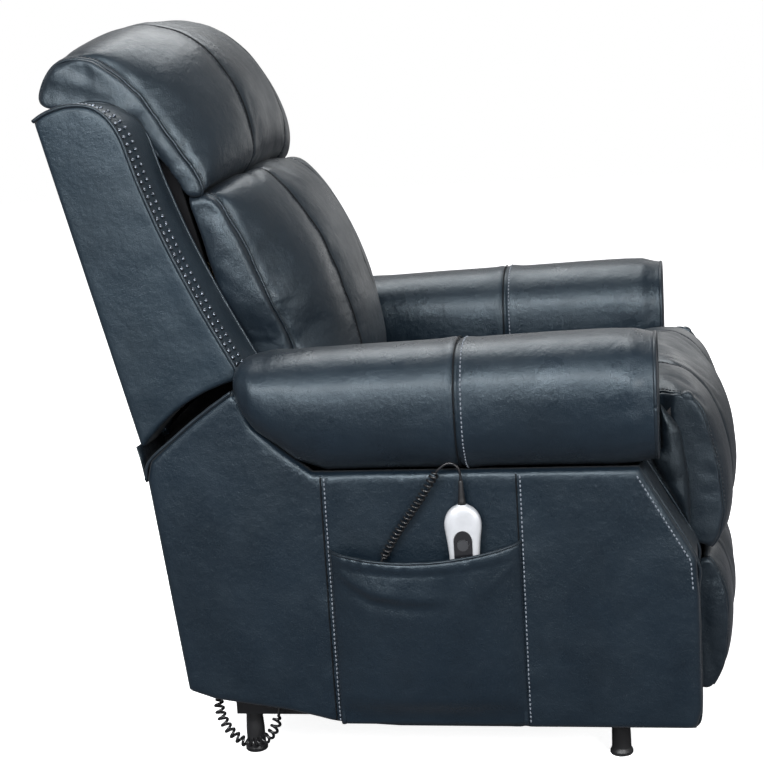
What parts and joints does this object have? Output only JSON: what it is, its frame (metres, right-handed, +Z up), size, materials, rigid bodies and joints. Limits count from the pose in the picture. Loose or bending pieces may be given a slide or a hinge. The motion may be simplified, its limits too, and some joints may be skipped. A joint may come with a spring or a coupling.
{
  "type": "lift recliner chair",
  "caption": "Powered lift recliner with rolled arms, winged back, head pillow, chaise pad, handset pocket and a steel lift base.",
  "frame": {"origin": "on the floor under the middle of the chair's bounding box", "axes": "+Z up, the chair faces -Y, +X is the sitter's left"},
  "size_m": [0.86, 0.9893, 1.104],
  "materials": {
    "leather": "navy, semi-gloss, fine grain",
    "dark_leather": "navy, satin, in the shade of the arms",
    "black_plastic": "black, matt",
    "cord_rubber": "black, satin",
    "silver_plastic": "silver, satin",
    "zinc": "zinc plated",
    "timber": "plain plywood and pine",
    "black_steel": "black powder coat"
  },
  "bodies": {
    "base": {"rail_left": "black_steel", "rail_right": "black_steel", "base_front_tube": "black_steel", "base_rear_tube": "black_steel", "feet": "black_plastic", "front_link_pins": "zinc", "lift_motor": "black_plastic"},
    "chassis": {"side_plate_left": "black_steel", "side_plate_right": "black_steel", "chassis_pins": "zinc", "motor_tube": "black_steel", "seat_front_rail": "timber", "seat_rear_rail": "timber", "seat_springs": "zinc", "seat_cushion": "leather", "seat_bolster": "dark_leather", "seat_front_roll": "leather", "arm_outer_left": "leather", "arm_outer_right": "leather", "arm_inner_left": "dark_leather", "arm_inner_right": "dark_leather", "arm_front_left": "leather", "arm_front_right": "leather", "arm_rear_left": "leather", "arm_rear_right": "leather", "arm_roll_left": "leather", "arm_roll_right": "leather", "rear_panel": "leather", "pocket": "leather", "handset_shell": "silver_plastic", "handset_keypad": "black_plastic", "handset_boot": "cord_rubber", "handset_cord": "cord_rubber", "motor_cord": "cord_rubber", "cord_glands": "black_plastic", "back_motor": "black_plastic"},
    "lift_arms": {"lift_arm_left": "black_steel", "lift_arm_right": "black_steel", "lift_torque_tube": "black_steel"},
    "lift_rod": {"lift_rod": "zinc"},
    "front_links": {"front_link_left": "black_steel", "front_link_right": "black_steel"},
    "back": {"back_posts": "black_steel", "back_rails": "timber", "back_crank_tube": "zinc", "wing_left": "leather", "wing_right": "leather", "back_outer_panel": "leather", "back_cushion": "leather", "head_pillow": "leather"},
    "back_rod": {"back_rod": "zinc"},
    "legrest": {"leg_board": "timber", "leg_pad": "leather", "foot_pad": "leather"},
    "legrest_shaft": {"legrest_tube": "black_steel"},
    "push_links": {"push_links": "black_steel"},
    "recline_links": {"recline_links": "black_steel"},
    "key_up": {"key_up": "black_plastic"},
    "key_down": {"key_down": "black_plastic"}
  },
  "joints": [
    {"name": "lift", "type": "hinge", "parent": "base", "child": "lift_arms", "pos_m": [0, -0.24, 0.1], "axis": [1, 0, 0], "range_deg": [0, 46]},
    {"name": "lift_rod_slide", "type": "slide", "parent": "base", "child": "lift_rod", "axis": [0, -0.9816, 0.1908], "range_m": [0, 0.07835]},
    {"name": "chassis_tilt", "type": "hinge", "parent": "lift_arms", "child": "chassis", "pos_m": [0, 0.17, 0.164], "axis": [1, 0, 0], "range_deg": [-22.5, 0]},
    {"name": "front_link_swing", "type": "hinge", "parent": "base", "child": "front_links", "pos_m": [0, -0.295, 0.1055], "axis": [1, 0, 0], "range_deg": [0, 51.4]},
    {"name": "recline", "type": "hinge", "parent": "chassis", "child": "back", "pos_m": [0, 0.151, 0.343], "axis": [-1, 0, 0], "range_deg": [0, 30]},
    {"name": "back_rod_slide", "type": "slide", "parent": "chassis", "child": "back_rod", "axis": [0, -0.9976, 0.0698], "range_m": [0, 0.05196]},
    {"name": "legrest_swing", "type": "hinge", "parent": "chassis", "child": "legrest", "pos_m": [0, -0.424, 0.528], "axis": [-1, 0, 0], "range_deg": [0, 83.1]},
    {"name": "legrest_shaft_turn", "type": "hinge", "parent": "chassis", "child": "legrest_shaft", "pos_m": [0, -0.24, 0.32], "axis": [-1, 0, 0], "range_deg": [0, 83.1]},
    {"name": "push_link_pivot", "type": "hinge", "parent": "legrest_shaft", "child": "push_links", "pos_m": [0, -0.23, 0.19], "axis": [-1, 0, 0], "range_deg": [-83.1, 0]},
    {"name": "recline_link_pivot", "type": "hinge", "parent": "back", "child": "recline_links", "pos_m": [0, 0.17008, 0.24484], "axis": [-1, 0, 0], "range_deg": [-30.7, 0]},
    {"name": "key_up_press", "type": "slide", "parent": "chassis", "child": "key_up", "axis": [1, 0, 0], "range_m": [0, 0.0012], "stiffness_N_per_m": 400},
    {"name": "key_down_press", "type": "slide", "parent": "chassis", "child": "key_down", "axis": [1, 0, 0], "range_m": [0, 0.0012], "stiffness_N_per_m": 400}
  ],
  "couplings": [
    {"joint": "lift_rod_slide", "follows": "lift", "m_per_rad": 0.097336},
    {"joint": "chassis_tilt", "follows": "lift", "ratio": -0.4865},
    {"joint": "front_link_swing", "follows": "lift", "ratio": 1.1139},
    {"joint": "back_rod_slide", "follows": "recline", "m_per_rad": 0.098862},
    {"joint": "legrest_swing", "follows": "recline", "ratio": 2.7667},
    {"joint": "legrest_shaft_turn", "follows": "recline", "ratio": 2.7667},
    {"joint": "push_link_pivot", "follows": "recline", "ratio": -2.7667},
    {"joint": "recline_link_pivot", "follows": "recline", "ratio": -1.0173}
  ]
}
